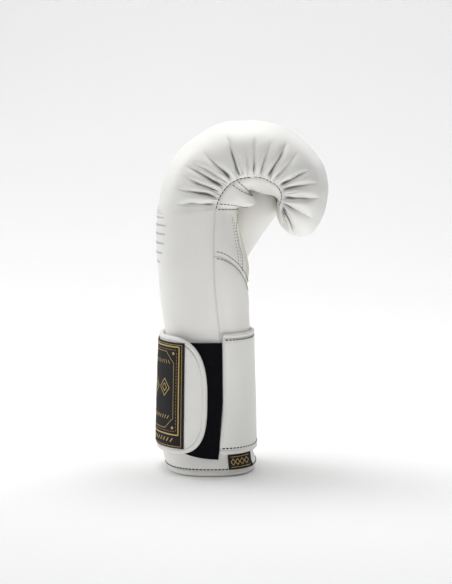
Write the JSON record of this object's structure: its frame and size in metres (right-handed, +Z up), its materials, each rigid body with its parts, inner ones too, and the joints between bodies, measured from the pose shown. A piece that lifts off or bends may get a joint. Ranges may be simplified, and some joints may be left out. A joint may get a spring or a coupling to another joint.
{
  "type": "boxing glove",
  "caption": "Padded right-hand boxing glove standing upright on its cuff, with curled fist, attached thumb, gathered seam and a wide wrist strap",
  "frame": {"origin": "on the floor, under the middle of the glove's box", "axes": "+Z up from the cuff to the knuckles, +X from the back of the hand to the palm, +Y towards the thumb"},
  "size_m": [0.1488, 0.143, 0.3002],
  "materials": {
    "white_leather": "fine grained, semi-matt",
    "inner_leather": "fine grained, matt",
    "trim_leather": "smooth, semi-matt",
    "loop_fabric": "loop pile, matt",
    "label_fabric": "woven, with gold thread"
  },
  "bodies": {
    "root": {"fist_shell": "white_leather", "palm_heel_panel": "inner_leather", "palm_centre_panel": "inner_leather", "grip_pad": "inner_leather", "finger_panel": "inner_leather", "thumb": "white_leather", "cuff": "white_leather", "cuff_binding": "trim_leather", "loop_patch": "loop_fabric", "wrist_strap": "white_leather", "strap_binding": "trim_leather", "strap_label": "label_fabric", "cuff_label": "label_fabric"}
  },
  "joints": []
}
